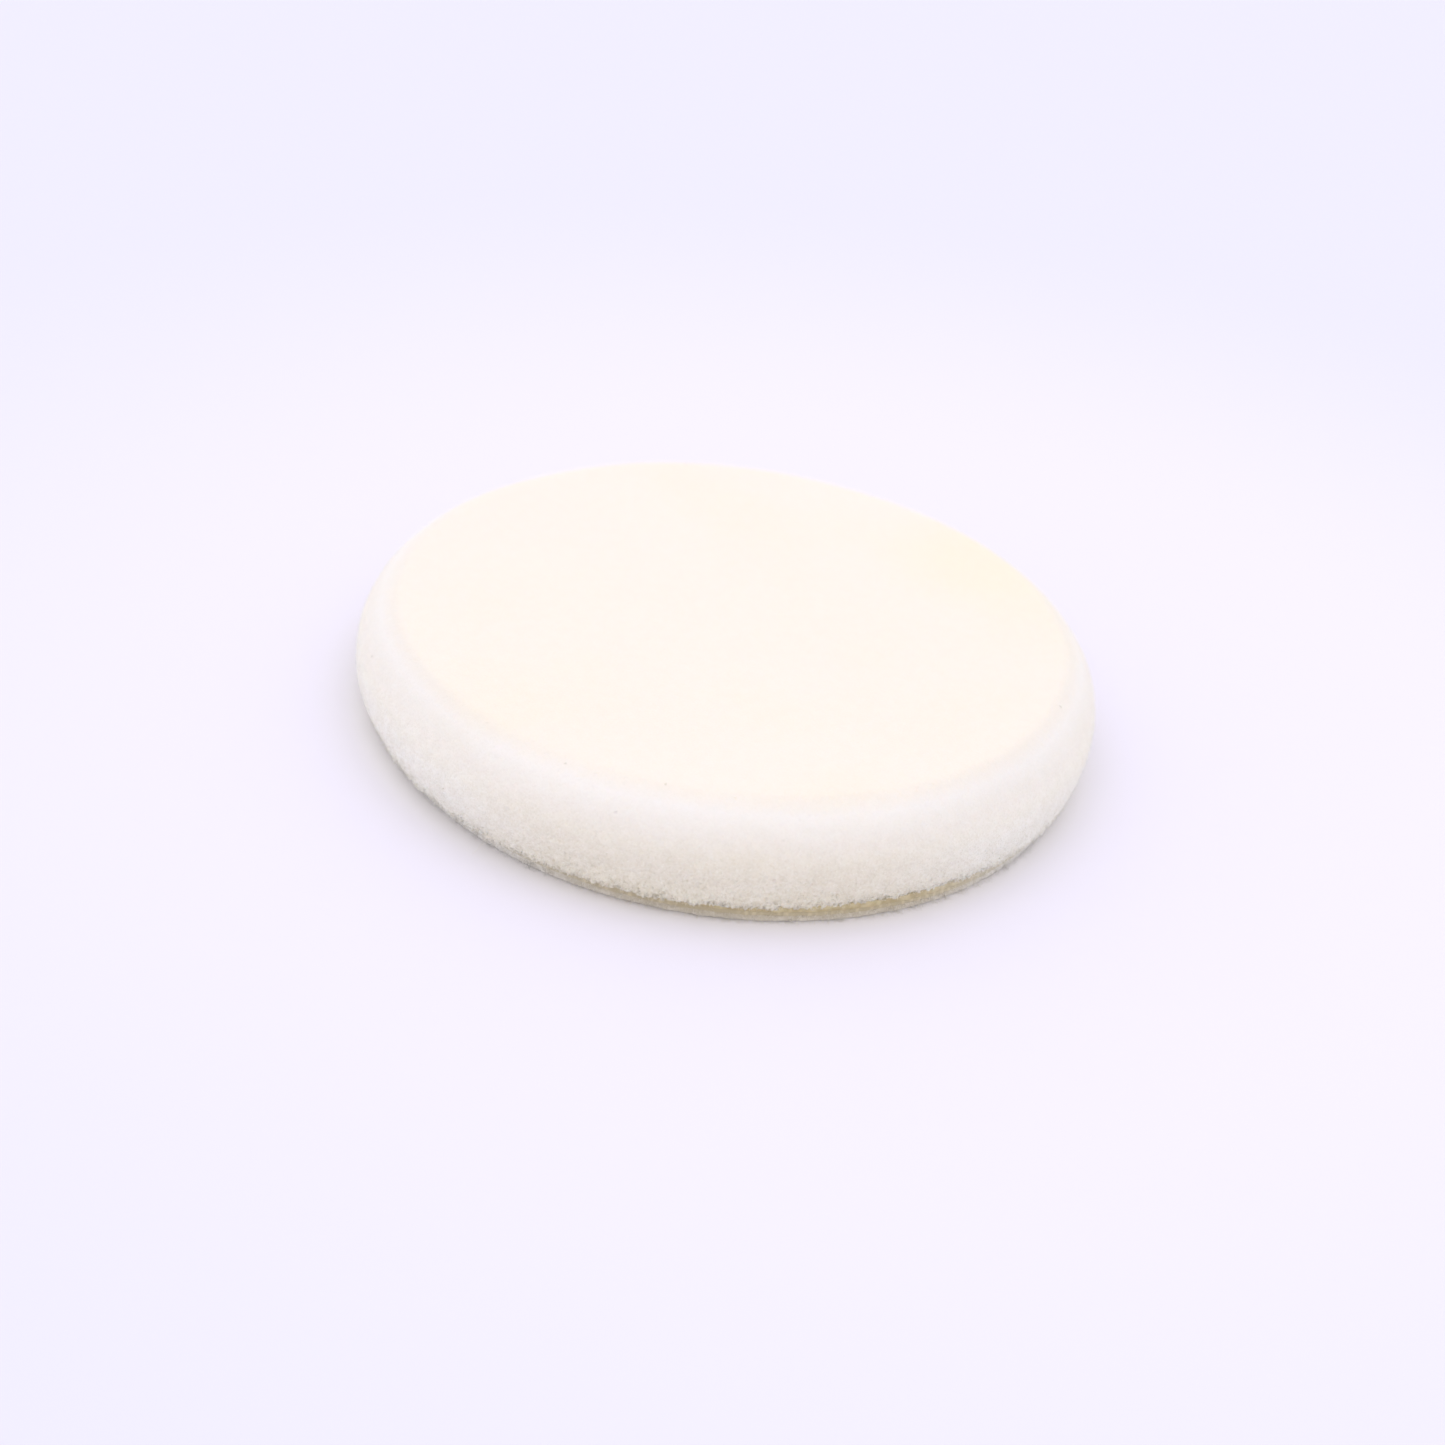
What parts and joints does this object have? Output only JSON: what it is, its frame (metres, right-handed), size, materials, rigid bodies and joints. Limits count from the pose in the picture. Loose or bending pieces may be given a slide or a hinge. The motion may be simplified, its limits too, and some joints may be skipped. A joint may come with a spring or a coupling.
{
  "type": "polishing pad",
  "caption": "Round cream foam polishing pad with a flat working face, a rounded shoulder and a loop fabric back that grips a hook-faced backing plate.",
  "frame": {"origin": "centre of the loop face, at the tips of the loops", "axes": "+Z along the pad's axis, out of the flat working face; the pad is round, so X and Y are free"},
  "size_m": [0.15, 0.15, 0.0232],
  "materials": {
    "foam": "cream open-cell polyurethane foam, fully matte, fine cells",
    "adhesive": "amber to brown hot-melt film, slightly glossy edge",
    "ground_knit": "beige warp-knitted ground",
    "loop_yarn": "off-white looped nylon yarn"
  },
  "bodies": {
    "root": {"foam_disc": "foam", "adhesive_film": "adhesive", "backing_cloth": "ground_knit", "loop_pile": "loop_yarn"}
  },
  "joints": []
}
